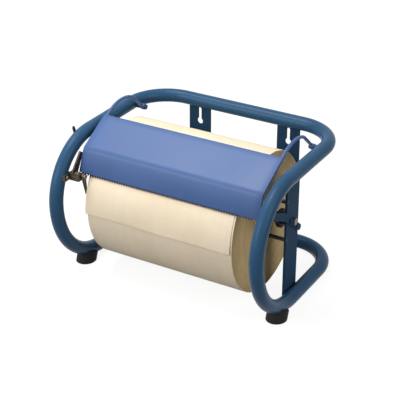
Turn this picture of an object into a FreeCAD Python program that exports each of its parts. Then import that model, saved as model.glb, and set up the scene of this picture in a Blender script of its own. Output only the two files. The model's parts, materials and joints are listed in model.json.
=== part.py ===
import FreeCAD
import Part
import math
import os

os.makedirs("parts", exist_ok=True)

# Counter and wall stand for a jumbo paper roll, with a hinged tear-off cover.
# Millimetres. X runs along the roll, Y from front to back, Z up.
# The origin lies on the counter, midway between the hoops and midway
# between the centrelines of the foremost bend and the rear rails.

# bent tube frame
tube_diameter = 25.0
tube_wall = 2.0
frame_side_room = 53.0
frame_front_room = 29.0
frame_height = 240.0
corner_radius = 75.0
upper_bend_radius = 106.0

# flat bars of the frame
side_bar_width = 45.0
side_bar_thickness = 4.0
side_bar_y = -5.0
side_bar_low_lap = 8.0
side_bar_top_lap = 0.5
strap_width = 45.0
strap_thickness = 3.0
strap_spacing = 184.0
keyhole_drop = 41.0
keyhole_rise = 24.0
keyhole_diameter = 12.0
keyhole_slot_width = 6.5

# feet
foot_diameter = 37.0
foot_angle = 20.5
foot_cup = 8.0
foot_screw_diameter = 5.0
foot_screw_head = 10.0
foot_screw_head_height = 3.0
foot_recess = 3.5
foot_screw_bite = 4.0

# axle and its seats
axle_y = -3.5
axle_height = 149.5
axle_diameter = 20.0
axle_shoulder_gap = 4.0
journal_diameter = 12.0
journal_clearance = 0.3
journal_reach = 2.0
cap_diameter = 13.0
cap_length = 3.5
cap_depth = 1.5
cap_round = 1.6
disc_diameter = 34.0
disc_thickness = 8.0
disc_gap = 13.5
disc_round = 1.6
guide_thickness = 3.0
guide_width = 11.5
guide_drop = 3.5
guide_horn_width = 14.0
guide_angle = 38.0
guide_horn_angle = 25.0
guide_front_length = 45.0
guide_horn_length = 42.0
guide_rear_length = 30.0
guide_bolt_diameter = 5.0
guide_bolt_head = 9.0
guide_bolt_dome = 3.0
guide_bolt_round = 2.1
guide_bolt_spacing = 33.0

# side stops for the roll
stop_diameter = 7.0
stop_spigot = 5.0
stop_inset = 4.0
stop_round = 1.6
upper_stop_rise = 44.0
lower_stop_drop = 28.0
right_stop_reach = 30.0
left_stop_reach = 24.0

# paper roll
roll_diameter = 252.0
roll_length = 287.0
roll_shift = -8.5
core_bore = 50.8
core_wall = 3.0
core_hang_clearance = 0.3
tail_clearance = 0.3
tail_thickness = 0.8
tail_overhang = 3.0
tail_top_angle = 58.0
tail_edge_angle = -2.0

# hinged cover with its tear edge
cover_side_gap = 8.5
cover_sheet = 1.5
cover_panel_length = 77.0
cover_lip_length = 43.0
cover_panel_slope = 29.0
cover_lip_slope = 68.5
cover_fold_radius = 20.0
blade_thickness = 1.0
blade_height = 16.0
blade_show = 4.0
blade_side_inset = 8.0
blade_gap = 0.5
blade_angle = 29.0
tooth_pitch = 5.0
tooth_depth = 4.0

# rod arms that carry the cover
arm_diameter = 6.0
arm_weld_gap = 0.05
arm_lip_reach = 20.0
arm_drop_setback = 54.5
arm_bow_radius = 80.0
arm_bow_fall = 20.0
arm_drop_radius = 30.0
pivot_overrun = 5.0
pivot_drop = 4.0
pivot_bolt_diameter = 6.0
pivot_clearance = 0.05
eye_diameter = 11.0
eye_width = 7.0
pivot_head_diameter = 9.0
pivot_head_height = 2.5
pivot_end_play = 0.3
pivot_grip = 6.0

# brake beside the left end of the roll
brake_pin_inset = 32.5
brake_pin_rise = 53.0
brake_pin_diameter = 5.0
brake_pin_clearance = 0.05
brake_pin_head = 9.0
brake_pin_head_height = 3.0
brake_pin_end = 7.5
brake_pin_end_height = 2.0
bracket_height = 12.0
bracket_wall = 3.0
bracket_roll_gap = 6.0
bracket_setback = 9.0
bracket_lug_reach = 5.0
bracket_saddle_depth = 10.0
bracket_saddle_width = 16.0
bracket_bolt_diameter = 5.0
bracket_bolt_head = 8.0
bracket_bolt_head_height = 3.0
bracket_bolt_bite = 4.0
hub_diameter = 9.0
lever_thickness = 2.5
lever_width = 8.0
lever_tube_gap = 1.0
lever_knee_reach = 59.0
lever_knee_rise = 28.5
handle_width = 6.0
handle_top_reach = 48.3
handle_top_rise = 62.2
counter_arm_thickness = 3.0
counter_arm_gap = 3.5
counter_arm_root_width = 16.0
counter_arm_tip_width = 9.0
counter_arm_reach = 23.5
counter_arm_rise = 33.5
collar_wall = 1.5
finger_thickness = 3.5
finger_root_width = 10.0
finger_tip_width = 1.5
finger_back = 6.0
finger_drop = 36.5
spring_wire = 1.2
spring_pitch = 1.6
spring_turns = 5
spring_clearance = 0.3
spring_inset = 2.0

# worked out from the values above
tube_r = tube_diameter / 2
low_z = tube_r
high_z = low_z + frame_height
lower_bend_radius = frame_height - upper_bend_radius
frame_width = roll_length + 2 * frame_side_room
hoop_x = frame_width / 2
frame_depth = 2 * (roll_diameter / 2 + frame_front_room - axle_y)
rear_y = frame_depth / 2
front_y = -rear_y
bend_z = high_z - upper_bend_radius
corner_y = rear_y - corner_radius
inner_x = hoop_x - tube_r
cover_width = 2 * (inner_x - cover_side_gap)
outer_x = hoop_x + tube_r
bar_front = side_bar_y - side_bar_width / 2
bar_inner_x = inner_x - side_bar_thickness
guide_outer_x = inner_x + guide_thickness
journal_end_x = guide_outer_x + journal_reach
pivot_y = corner_y + pivot_overrun
pivot_z = high_z - pivot_drop
brake_pin_y = front_y + brake_pin_inset
brake_pin_z = bend_z + brake_pin_rise
axle_r = axle_diameter / 2
journal_r = journal_diameter / 2
roll_r = roll_diameter / 2
tail_inner_r = roll_r + tail_clearance
tail_outer_r = tail_inner_r + tail_thickness
roll_y = axle_y
roll_z = axle_height - (core_bore / 2 - axle_r - core_hang_clearance)
roll_left = roll_shift - roll_length / 2
slot_angle = math.radians(guide_angle)

# turn of the sections' seams about the path, and how far cutters run past a face
seam_turn = 45.0
past = 1.0


def vec(x, y, z):
    return FreeCAD.Vector(x, y, z)


def box(x0, x1, y0, y1, z0, z1):
    return Part.makeBox(x1 - x0, y1 - y0, z1 - z0, vec(x0, y0, z0))


def rod(x0, x1, y, z, diameter):
    return Part.makeCylinder(diameter / 2, x1 - x0, vec(x0, y, z), vec(1, 0, 0))


def mirrored(shape):
    return shape.mirror(vec(0, 0, 0), vec(1, 0, 0))


def fused(shapes):
    joined = shapes[0].multiFuse(shapes[1:])
    return joined.removeSplitter()


def save(name, shape):
    shape.exportStep("parts/" + name + ".step")


def prism(points, x0, x1):
    """Solid between two X planes whose outline is a polygon of (y, z) points."""
    corners = [vec(x0, y, z) for y, z in points]
    face = Part.Face(Part.makePolygon(corners + corners[:1]))
    return face.extrude(vec(x1 - x0, 0, 0))


def capsule(start, end, width, x0, x1):
    """Round-ended bar between two (y, z) points, extruded from x0 to x1."""
    dy = end[0] - start[0]
    dz = end[1] - start[1]
    length = math.hypot(dy, dz)
    ny = -dz / length * width / 2
    nz = dy / length * width / 2
    sides = [(start[0] + ny, start[1] + nz), (end[0] + ny, end[1] + nz)]
    sides += [(end[0] - ny, end[1] - nz), (start[0] - ny, start[1] - nz)]
    ends = [rod(x0, x1, point[0], point[1], width) for point in (start, end)]
    return fused([prism(sides, x0, x1)] + ends)


def rounded_rod(x0, x1, y, z, diameter, radius, end_x):
    """Round bar along X whose rim at end_x is rounded."""
    bar = rod(x0, x1, y, z, diameter)
    rim = [edge for edge in bar.Edges if abs(edge.CenterOfMass.x - end_x) < radius / 2]
    return bar.makeFillet(radius, rim)


def swept_rod(edges, centre, normal, radius):
    """Round bar along a path of joined edges."""
    circle = Part.makeCircle(radius, centre, normal)
    circle.rotate(centre, normal, seam_turn)
    return Part.Wire(edges).makePipeShell([Part.Wire(circle.Edges)], True, True)


def tube_along(edges, centre, normal):
    """Hollow tube along a path that starts at centre in direction normal."""
    outer = swept_rod(edges, centre, normal, tube_r)
    return outer.cut(swept_rod(edges, centre, normal, tube_r - tube_wall))


def line(start, end):
    return Part.LineSegment(start, end).toShape()


def quarter_arc(start, corner, end):
    """Quarter circle tangent to the lines from its corner to both its ends."""
    centre = start + end - corner
    middle = centre + (corner - centre) * math.sqrt(0.5)
    return Part.Arc(start, middle, end).toShape()


def along(start, slope, reach):
    """Point reached from a (y, z) point at a slope in radians."""
    return (start[0] + math.cos(slope) * reach, start[1] + math.sin(slope) * reach)


def on_path(point, centre, radius):
    dy = point[0] - centre[0]
    dz = point[1] - centre[1]
    scale = radius / math.hypot(dy, dz)
    return (centre[0] + dy * scale, centre[1] + dz * scale)


def offset_edges(start, steps, offset, x):
    """Edges of a (y, z) path moved sideways; offset is positive to its left."""
    edges = []
    here = start
    for step in steps:
        end = step["end"]
        if "centre" in step:
            centre = step["centre"]
            turn = step["turn"]
            radius = math.hypot(end[0] - centre[0], end[1] - centre[1]) - turn * offset
            middle = ((here[0] + end[0]) / 2, (here[1] + end[1]) / 2)
            points = [on_path(p, centre, radius) for p in (here, middle, end)]
            corners = [vec(x, y, z) for y, z in points]
            edges.append(Part.Arc(*corners).toShape())
        else:
            dy = end[0] - here[0]
            dz = end[1] - here[1]
            length = math.hypot(dy, dz)
            ny = -dz / length * offset
            nz = dy / length * offset
            first = vec(x, here[0] + ny, here[1] + nz)
            last = vec(x, end[0] + ny, end[1] + nz)
            edges.append(Part.LineSegment(first, last).toShape())
        here = end
    return edges


def band(start, steps, left, right, x0, x1):
    """Bent strip along a (y, z) path, from offset left to offset right of it."""
    upper = offset_edges(start, steps, left, x0)
    lower = offset_edges(start, steps, right, x0)
    caps = [
        Part.LineSegment(upper[0].firstVertex().Point, lower[0].firstVertex().Point),
        Part.LineSegment(upper[-1].lastVertex().Point, lower[-1].lastVertex().Point),
    ]
    edges = upper + lower + [cap.toShape() for cap in caps]
    wire = Part.Wire(Part.__sortEdges__(edges))
    return Part.Face(wire).extrude(vec(x1 - x0, 0, 0))


def fold_step(before, corner, after, radius):
    """Line to a rounded corner and the arc round it, as two path steps."""
    ins = (before[0] - corner[0], before[1] - corner[1])
    outs = (after[0] - corner[0], after[1] - corner[1])
    length_in = math.hypot(*ins)
    length_out = math.hypot(*outs)
    u = (ins[0] / length_in, ins[1] / length_in)
    v = (outs[0] / length_out, outs[1] / length_out)
    half = math.acos(u[0] * v[0] + u[1] * v[1]) / 2
    cut = radius / math.tan(half)
    first = (corner[0] + u[0] * cut, corner[1] + u[1] * cut)
    last = (corner[0] + v[0] * cut, corner[1] + v[1] * cut)
    middle = (u[0] + v[0], u[1] + v[1])
    reach = radius / math.sin(half) / math.hypot(*middle)
    centre = (corner[0] + middle[0] * reach, corner[1] + middle[1] * reach)
    cross = u[0] * v[1] - u[1] * v[0]
    turn = 1 if cross < 0 else -1
    return [{"end": first}, {"end": last, "centre": centre, "turn": turn}]


# ---- tube frame ----

def rail_edges(z):
    """Centreline of a rear rail from its left end to its right end."""
    end_x = hoop_x - corner_radius
    left_end = vec(-hoop_x, corner_y, z)
    left_top = vec(-end_x, rear_y, z)
    right_top = vec(end_x, rear_y, z)
    right_end = vec(hoop_x, corner_y, z)
    return [
        quarter_arc(left_end, vec(-hoop_x, rear_y, z), left_top),
        line(left_top, right_top),
        quarter_arc(right_top, vec(hoop_x, rear_y, z), right_end),
    ]


def rail(z):
    """Straight rear tube with a quarter bend at each end."""
    return tube_along(rail_edges(z), vec(-hoop_x, corner_y, z), vec(0, 1, 0))


def top_rail_envelope():
    """The top rail without its bore, for saddles."""
    return swept_rod(rail_edges(high_z), vec(-hoop_x, corner_y, high_z), vec(0, 1, 0), tube_r)


def top_rail():
    """Top rail with a hole near each end for the cover's pivot bolts."""
    return rail(high_z).cut(pivot_hole()).cut(mirrored(pivot_hole()))


def hoop_edges():
    """Centreline of the right hoop from the top corner to the bottom corner."""
    upper_y = front_y + upper_bend_radius
    lower_y = front_y + lower_bend_radius
    top_start = vec(hoop_x, corner_y, high_z)
    top_end = vec(hoop_x, upper_y, high_z)
    nose = vec(hoop_x, front_y, bend_z)
    low_start = vec(hoop_x, lower_y, low_z)
    low_end = vec(hoop_x, corner_y, low_z)
    return [
        line(top_start, top_end),
        quarter_arc(top_end, vec(hoop_x, front_y, high_z), nose),
        quarter_arc(nose, vec(hoop_x, front_y, low_z), low_start),
        line(low_start, low_end),
    ]


def hoop_envelope():
    """The right hoop without its bore, for saddles."""
    return swept_rod(hoop_edges(), vec(hoop_x, corner_y, high_z), vec(0, -1, 0), tube_r)


def right_hoop():
    """Side tube: top run, front bend of two radii and bottom run."""
    hoop = tube_along(hoop_edges(), vec(hoop_x, corner_y, high_z), vec(0, -1, 0))
    return hoop.cut(foot_screw_hole())


def foot_axis():
    """Centre of the lower bend and unit vector from it down through the foot."""
    centre = vec(hoop_x, front_y + lower_bend_radius, bend_z)
    lean = math.radians(foot_angle)
    return centre, vec(0, -math.sin(lean), -math.cos(lean))


def foot_screw_hole():
    centre, down = foot_axis()
    start = centre + down * (lower_bend_radius + tube_r - foot_screw_bite)
    return Part.makeCylinder(foot_screw_diameter / 2, foot_screw_bite + past, start, down)


def right_foot():
    """Rubber foot square to the bend, cupped to the tube and flat on the counter."""
    centre, down = foot_axis()
    start = centre + down * (lower_bend_radius + tube_r - foot_cup)
    length = lower_bend_radius
    blank = Part.makeCylinder(foot_diameter / 2, length, start, down)
    under = box(0, 2 * frame_width, -frame_depth, frame_depth, -frame_height, 0)
    foot = blank.cut(under).cut(hoop_envelope())
    hole = Part.makeCylinder(foot_screw_diameter / 2, length, start, down)
    seat = centre + down * (lower_bend_radius + tube_r + foot_recess)
    recess = Part.makeCylinder(foot_screw_head / 2, length, seat, down)
    return foot.cut(hole).cut(recess)


def right_foot_screw():
    """Screw from the underside of the foot into the tube wall."""
    centre, down = foot_axis()
    start = centre + down * (lower_bend_radius + tube_r - foot_screw_bite)
    length = foot_screw_bite + foot_recess
    seat = start + down * length
    shank = Part.makeCylinder(foot_screw_diameter / 2, length, start, down)
    head = Part.makeCylinder(foot_screw_head / 2, foot_screw_head_height, seat, down)
    return fused([shank, head])


# ---- flat bars ----

def slot_points():
    """Seat, knee and mouth of the hooked axle slot, as (y, z) points."""
    seat = (axle_y, axle_height)
    depth = guide_width / 2 - guide_drop + journal_r
    knee = along(seat, math.pi / 2 - slot_angle, depth)
    mouth = along(knee, math.pi - slot_angle, side_bar_width)
    return seat, knee, mouth


def axle_slot(x0, x1):
    seat, knee, mouth = slot_points()
    width = journal_diameter + 2 * journal_clearance
    return fused([capsule(seat, knee, width, x0, x1), capsule(knee, mouth, width, x0, x1)])


def stop_centres():
    y = bar_front + stop_inset
    return [(y, axle_height + upper_stop_rise), (y, axle_height - lower_stop_drop)]


def guide_bolt_centres():
    """Two fixings of each guide, either side of the axle slot."""
    half = guide_bolt_spacing / 2
    return [along(guide_centre(), -slot_angle, -half), along(guide_centre(), -slot_angle, half)]


def axle_hole(x0, x1):
    return rod(x0, x1, axle_y, axle_height, journal_diameter + 2 * journal_clearance)


def side_bar(axle_seat):
    """Upright flat bar inside the hoop; its axle seat is a round hole or a hooked slot."""
    y0 = bar_front
    y1 = bar_front + side_bar_width
    z0 = low_z - side_bar_low_lap
    z1 = high_z + side_bar_top_lap
    bar = box(bar_inner_x, inner_x, y0, y1, z0, z1)
    bar = bar.cut(axle_seat(bar_inner_x, inner_x))
    for y, z in stop_centres():
        bar = bar.cut(rod(bar_inner_x, inner_x, y, z, stop_spigot))
    for y, z in guide_bolt_centres():
        bar = bar.cut(rod(bar_inner_x, inner_x, y, z, guide_bolt_diameter))
    return bar


def wall_strap(x):
    """Flat strap between the rear rails with a keyhole for a wall screw."""
    half = strap_width / 2
    y0 = rear_y - strap_thickness / 2
    y1 = rear_y + strap_thickness / 2
    strap = box(x - half, x + half, y0, y1, low_z, high_z)
    for z in (low_z, high_z):
        strap = strap.cut(rod(x - strap_width, x + strap_width, rear_y, z, tube_diameter))
    hole_z = high_z - keyhole_drop
    slot_z = hole_z + keyhole_rise
    slot_half = keyhole_slot_width / 2
    back = vec(0, 1, 0)
    hole = Part.makeCylinder(keyhole_diameter / 2, strap_thickness, vec(x, y0, hole_z), back)
    slot_end = Part.makeCylinder(slot_half, strap_thickness, vec(x, y0, slot_z), back)
    slot = box(x - slot_half, x + slot_half, y0, y1, hole_z, slot_z)
    return strap.cut(hole).cut(slot_end).cut(slot)


def guide_centre():
    """Point of the guide's centreline square below the axle seat."""
    return along((axle_y, axle_height), math.pi / 2 - slot_angle, -guide_drop)


def right_axle_guide():
    """Bent strip on the outer face of the bar; the axle rolls down it to its notch."""
    rear = along(guide_centre(), -slot_angle, guide_rear_length)
    knee = along(guide_centre(), -slot_angle, -guide_front_length)
    tip = along(knee, -math.radians(guide_horn_angle), -guide_horn_length)
    lower = capsule(rear, knee, guide_width, inner_x, guide_outer_x)
    horn = capsule(knee, tip, guide_horn_width, inner_x, guide_outer_x)
    guide = fused([lower, horn])
    seat, slot_knee, mouth = slot_points()
    width = journal_diameter + 2 * journal_clearance
    guide = guide.cut(capsule(seat, slot_knee, width, inner_x, guide_outer_x))
    for y, z in guide_bolt_centres():
        guide = guide.cut(rod(inner_x, guide_outer_x, y, z, guide_bolt_diameter))
    return guide


def right_guide_bolts():
    """Two dome-headed bolts through guide and bar."""
    bolts = []
    top = guide_outer_x + guide_bolt_dome
    for y, z in guide_bolt_centres():
        shank = rod(bar_inner_x, guide_outer_x, y, z, guide_bolt_diameter)
        head = rounded_rod(guide_outer_x, top, y, z, guide_bolt_head, guide_bolt_round, top)
        bolts.append(fused([shank, head]))
    return bolts


def right_side_stops(reach):
    """Two short pins on the inner face of the bar, beside the roll's end."""
    stops = []
    for y, z in stop_centres():
        tip = bar_inner_x - reach
        pin = rounded_rod(tip, bar_inner_x, y, z, stop_diameter, stop_round, tip)
        spigot = rod(bar_inner_x, inner_x, y, z, stop_spigot)
        stops.append(fused([pin, spigot]))
    return stops


# ---- axle ----

def axle_shaft():
    shoulder = bar_inner_x - axle_shoulder_gap
    body = rod(-shoulder, shoulder, axle_y, axle_height, axle_diameter)
    journal = rod(-journal_end_x, journal_end_x, axle_y, axle_height, journal_diameter)
    return fused([body, journal])


def axle_disc():
    """Black plastic disc pushed onto the axle beside the bar."""
    outer = bar_inner_x - disc_gap
    disc = rod(outer - disc_thickness, outer, axle_y, axle_height, disc_diameter)
    rims = [edge for edge in disc.Edges if edge.Length > 3 * disc_diameter]
    bore = rod(outer - disc_thickness, outer, axle_y, axle_height, axle_diameter)
    return disc.makeFillet(disc_round, rims).cut(bore)


def axle_cap():
    """Plastic cap over the axle's end."""
    start = journal_end_x - cap_depth
    end = start + cap_length
    cap = rounded_rod(start, end, axle_y, axle_height, cap_diameter, cap_round, end)
    return cap.cut(rod(start, journal_end_x, axle_y, axle_height, journal_diameter))


# ---- paper ----

def paper_ring(outer, inner):
    solid = rod(roll_left, roll_left + roll_length, roll_y, roll_z, outer)
    bore = rod(roll_left, roll_left + roll_length, roll_y, roll_z, inner)
    return solid.cut(bore)


def paper_tail():
    """Loose last turn of paper from under the cover to its torn edge."""
    x0 = roll_left - tail_overhang
    inner = tail_inner_r
    outer = tail_outer_r
    angles = [tail_top_angle, (tail_top_angle + tail_edge_angle) / 2, tail_edge_angle]

    def points(radius):
        found = []
        for angle in angles:
            turn = math.radians(angle)
            y = roll_y - radius * math.cos(turn)
            found.append(vec(x0, y, roll_z + radius * math.sin(turn)))
        return found

    outside = points(outer)
    inside = points(inner)
    edges = [
        Part.Arc(*outside).toShape(),
        Part.LineSegment(outside[2], inside[2]).toShape(),
        Part.Arc(*inside).toShape(),
        Part.LineSegment(inside[0], outside[0]).toShape(),
    ]
    face = Part.Face(Part.Wire(Part.__sortEdges__(edges)))
    return face.extrude(vec(roll_length, 0, 0))


# ---- cover ----

def cover_points():
    """Rear edge, fold and lip edge on the outer face of the cover, as (y, z)."""
    panel = math.radians(cover_panel_slope)
    lip = math.radians(cover_lip_slope)
    reach = tail_outer_r + blade_gap
    angle = math.radians(blade_angle)
    tip_y = roll_y - reach * math.cos(angle)
    tip_z = roll_z + reach * math.sin(angle)
    skin = blade_thickness + cover_sheet
    edge_y = tip_y - math.sin(lip) * skin + math.cos(lip) * blade_show
    edge_z = tip_z + math.cos(lip) * skin + math.sin(lip) * blade_show
    fold_y = edge_y + math.cos(lip) * cover_lip_length
    fold_z = edge_z + math.sin(lip) * cover_lip_length
    rear_edge_y = fold_y + math.cos(panel) * cover_panel_length
    rear_edge_z = fold_z + math.sin(panel) * cover_panel_length
    return (rear_edge_y, rear_edge_z), (fold_y, fold_z), (edge_y, edge_z)


def cover_path(start, end):
    """Path over the fold between two points of the cover's outer face."""
    fold = cover_points()[1]
    return fold_step(start, fold, end, cover_fold_radius) + [{"end": end}]


def cover_shell():
    rear_edge, fold, edge = cover_points()
    half = cover_width / 2
    return band(rear_edge, cover_path(rear_edge, edge), 0, cover_sheet, -half, half)


def tear_blade():
    """Toothed strip behind the lip; its teeth show below the lip's edge."""
    edge = cover_points()[2]
    lip = math.radians(cover_lip_slope)
    down_y = -math.cos(lip)
    down_z = -math.sin(lip)
    in_y = math.sin(lip)
    in_z = -math.cos(lip)
    half = cover_width / 2 - blade_side_inset
    count = int(2 * half / tooth_pitch)
    half = count * tooth_pitch / 2

    def at(x, down):
        y = edge[0] + down_y * down + in_y * cover_sheet
        return vec(x, y, edge[1] + down_z * down + in_z * cover_sheet)

    top = blade_show - blade_height
    root = blade_show - tooth_depth
    corners = [at(-half, top), at(-half, root)]
    for index in range(count):
        left = -half + index * tooth_pitch
        corners.append(at(left + tooth_pitch / 2, blade_show))
        corners.append(at(left + tooth_pitch, root))
    corners.append(at(half, top))
    face = Part.Face(Part.makePolygon(corners + corners[:1]))
    return face.extrude(vec(0, in_y * blade_thickness, in_z * blade_thickness))


def arm_edges(x):
    """Centreline of an arm: under lip and panel, over the bow, down to the eye."""
    rear_edge, fold, edge = cover_points()
    panel = math.radians(cover_panel_slope)
    lip = math.radians(cover_lip_slope)
    depth = cover_sheet + arm_diameter / 2 + arm_weld_gap
    corner = along(fold, (panel + lip) / 2 - math.pi / 2, depth / math.cos((lip - panel) / 2))
    start = along(corner, lip + math.pi, arm_lip_reach)
    lead = along(rear_edge, panel - math.pi / 2, depth)
    fall = math.pi / 2 - math.radians(arm_bow_fall)
    bow_run = math.sin(panel) * arm_bow_radius + math.cos(fall) * (arm_bow_radius - arm_drop_radius)
    rise = (pivot_y - arm_drop_setback - bow_run - lead[0]) / math.cos(panel)
    leave = along(lead, panel, rise)
    steps = fold_step(start, corner, leave, cover_fold_radius - depth)
    steps.append({"end": leave})
    bow_centre = along(leave, panel - math.pi / 2, arm_bow_radius)
    bow_end = along(bow_centre, fall, arm_bow_radius)
    steps.append({"end": bow_end, "centre": bow_centre, "turn": -1})
    drop_centre = along(bow_end, fall, -arm_drop_radius)
    away = math.hypot(pivot_y - drop_centre[0], pivot_z - drop_centre[1])
    direction = math.atan2(pivot_z - drop_centre[1], pivot_y - drop_centre[0])
    touch = along(drop_centre, direction + math.acos(arm_drop_radius / away), arm_drop_radius)
    steps.append({"end": touch, "centre": drop_centre, "turn": -1})
    steps.append({"end": (pivot_y, pivot_z)})
    return start, lip, offset_edges(start, steps, 0, x)


def right_cover_arm():
    """Bent rod under the cover's end that bows back and down to its eye."""
    x = cover_width / 2 - arm_diameter / 2
    start, lip, edges = arm_edges(x)
    direction = vec(0, math.cos(lip), math.sin(lip))
    bent = swept_rod(edges, vec(x, *start), direction, arm_diameter / 2)
    x0 = x - eye_width / 2
    x1 = x + eye_width / 2
    eye = rod(x0, x1, pivot_y, pivot_z, eye_diameter)
    bore = pivot_bolt_diameter + 2 * pivot_clearance
    return fused([bent, eye]).cut(rod(x0, x1, pivot_y, pivot_z, bore))


def pivot_hole():
    """Hole for the right pivot bolt in the inner wall of the top rail's end."""
    return rod(inner_x - past, inner_x + pivot_grip, pivot_y, pivot_z, pivot_bolt_diameter)


def right_pivot_bolt():
    """Shoulder bolt with its spacer, which carries the arm's eye on the rail."""
    eye_outer = cover_width / 2 - arm_diameter / 2 + eye_width / 2
    head_x = eye_outer - eye_width - pivot_end_play
    spacer_x = eye_outer + pivot_end_play
    head = rod(head_x - pivot_head_height, head_x, pivot_y, pivot_z, pivot_head_diameter)
    shank = rod(head_x, inner_x + pivot_grip, pivot_y, pivot_z, pivot_bolt_diameter)
    spacer = rod(spacer_x, inner_x + pivot_grip, pivot_y, pivot_z, pivot_head_diameter)
    spacer = spacer.cut(top_rail_envelope())
    return fused([head, shank, spacer])


# ---- brake at the left of the roll, drawn on the right and mirrored ----

def bracket_inner_x():
    return tail_overhang - roll_left + bracket_roll_gap


def brake_bracket():
    """Channel bracket with a saddle on the hoop and two lugs for the shaft."""
    z0 = brake_pin_z - bracket_height / 2
    z1 = brake_pin_z + bracket_height / 2
    plate_front = brake_pin_y - bracket_setback - bracket_wall
    plate_back = plate_front + bracket_wall
    lug_back = brake_pin_y + bracket_lug_reach
    saddle_front = plate_back - bracket_saddle_width
    inner = bracket_inner_x()
    plate = box(inner, inner_x, plate_front, plate_back, z0, z1)
    inner_lug = box(inner, inner + bracket_wall, plate_front, lug_back, z0, z1)
    outer_lug = box(inner_x - bracket_wall, inner_x, plate_front, lug_back, z0, z1)
    saddle = box(inner_x - bracket_wall, inner_x + bracket_saddle_depth, saddle_front, plate_back, z0, z1)
    saddle = saddle.cut(hoop_envelope())
    saddle = min(saddle.Solids, key=lambda solid: solid.CenterOfMass.x)
    bracket = fused([plate, inner_lug, outer_lug, saddle])
    bore = brake_pin_diameter + 2 * brake_pin_clearance
    hole = rod(inner, inner_x, brake_pin_y, brake_pin_z, bore)
    return bracket.cut(hole).cut(bracket_bolt_hole())


def bracket_bolt_centre():
    """Centre of the hoop tube at the height of the brake pin."""
    rise = brake_pin_z - bend_z
    y = front_y + upper_bend_radius - math.sqrt(upper_bend_radius ** 2 - rise ** 2)
    return y, brake_pin_z


def bracket_bolt_hole():
    y, z = bracket_bolt_centre()
    return rod(inner_x - bracket_wall, inner_x + bracket_bolt_bite, y, z, bracket_bolt_diameter)


def bracket_bolt():
    """Bolt through the saddle into the hoop."""
    y, z = bracket_bolt_centre()
    seat_x = inner_x - bracket_wall
    shank = rod(seat_x, inner_x + bracket_bolt_bite, y, z, bracket_bolt_diameter)
    head = rod(seat_x - bracket_bolt_head_height, seat_x, y, z, bracket_bolt_head)
    return fused([shank, head])


def lever_span():
    """X of the lever's two faces, outside the hoop."""
    return outer_x + lever_tube_gap, outer_x + lever_tube_gap + lever_thickness


def finger_span():
    """X of the finger's two faces, between the inner lug and the roll."""
    outer = bracket_inner_x() - pivot_end_play
    return outer - finger_thickness, outer


def brake_pin():
    """Shaft through both lugs and past the hoop, headed at both ends."""
    start = finger_span()[0]
    end = lever_span()[1]
    shaft = rod(start, end, brake_pin_y, brake_pin_z, brake_pin_diameter)
    head = rod(start - brake_pin_head_height, start, brake_pin_y, brake_pin_z, brake_pin_head)
    rivet = rod(end, end + brake_pin_end_height, brake_pin_y, brake_pin_z, brake_pin_end)
    return fused([shaft, head, rivet])


def hub_span():
    """X of the hub's two ends, with end play between the lugs."""
    inner = bracket_inner_x() + bracket_wall + pivot_end_play
    return inner, inner_x - bracket_wall - pivot_end_play


def brake_lever():
    """Bent strip on the shaft's outer end; its handle stands up beside the hoop."""
    x0, x1 = lever_span()
    pin = (brake_pin_y, brake_pin_z)
    knee = (brake_pin_y + lever_knee_reach, brake_pin_z + lever_knee_rise)
    top = (brake_pin_y + handle_top_reach, brake_pin_z + handle_top_rise)
    lower = capsule(pin, knee, lever_width, x0, x1)
    handle = capsule(knee, top, handle_width, x0, x1)
    return fused([lower, handle]).cut(rod(x0, x1, brake_pin_y, brake_pin_z, brake_pin_diameter))


def tapered_arm(reach, rise, root_width, tip_width, x0, x1):
    """Flat arm from the shaft to a tip, with a round collar about the shaft."""
    length = math.hypot(reach, rise)
    side = (-rise / length, reach / length)
    tip = (brake_pin_y + reach, brake_pin_z + rise)
    half = root_width / 2
    end = tip_width / 2
    outline = [
        (brake_pin_y - side[0] * half, brake_pin_z - side[1] * half),
        (tip[0] - side[0] * end, tip[1] - side[1] * end),
        (tip[0] + side[0] * end, tip[1] + side[1] * end),
        (brake_pin_y + side[0] * half, brake_pin_z + side[1] * half),
    ]
    collar = rod(x0, x1, brake_pin_y, brake_pin_z, hub_diameter + 2 * collar_wall)
    return fused([prism(outline, x0, x1), collar])


def brake_arm():
    """Hub fixed on the shaft, with the arm that stands up beside the cover."""
    inner, outer = hub_span()
    x1 = inner_x - counter_arm_gap
    x0 = x1 - counter_arm_thickness
    sizes = (counter_arm_reach, counter_arm_rise, counter_arm_root_width, counter_arm_tip_width)
    hub = rod(inner, outer, brake_pin_y, brake_pin_z, hub_diameter)
    arm = fused([hub, tapered_arm(*sizes, x0, x1)])
    return arm.cut(rod(inner, outer, brake_pin_y, brake_pin_z, brake_pin_diameter))


def brake_finger():
    """Tapered finger on the shaft's inner end, beside the end of the roll."""
    x0, x1 = finger_span()
    finger = tapered_arm(finger_back, -finger_drop, finger_root_width, finger_tip_width, x0, x1)
    return finger.cut(rod(x0, x1, brake_pin_y, brake_pin_z, brake_pin_diameter))


def brake_spring():
    """Torsion spring round the hub, its leg against the bracket plate."""
    inner, outer = hub_span()
    radius = hub_diameter / 2 + spring_clearance + spring_wire / 2
    start_x = inner + spring_inset
    helix = Part.makeHelix(spring_pitch, spring_pitch * spring_turns, radius)
    profile = Part.Wire(Part.makeCircle(spring_wire / 2, vec(radius, 0, 0), vec(0, 1, 0)).Edges)
    coil = Part.Wire(helix.Edges).makePipeShell([profile], True, True)
    leg_length = bracket_setback - spring_wire / 2
    leg = Part.makeCylinder(spring_wire / 2, leg_length, vec(radius, 0, 0), vec(0, -1, 0))
    spring = fused([coil, leg])
    spring.rotate(vec(0, 0, 0), vec(0, 1, 0), 90)
    spring.translate(vec(start_x, brake_pin_y, brake_pin_z))
    return spring


# ---- write every piece ----

right_tube = right_hoop()
left_tube = right_tube.cut(bracket_bolt_hole())

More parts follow.
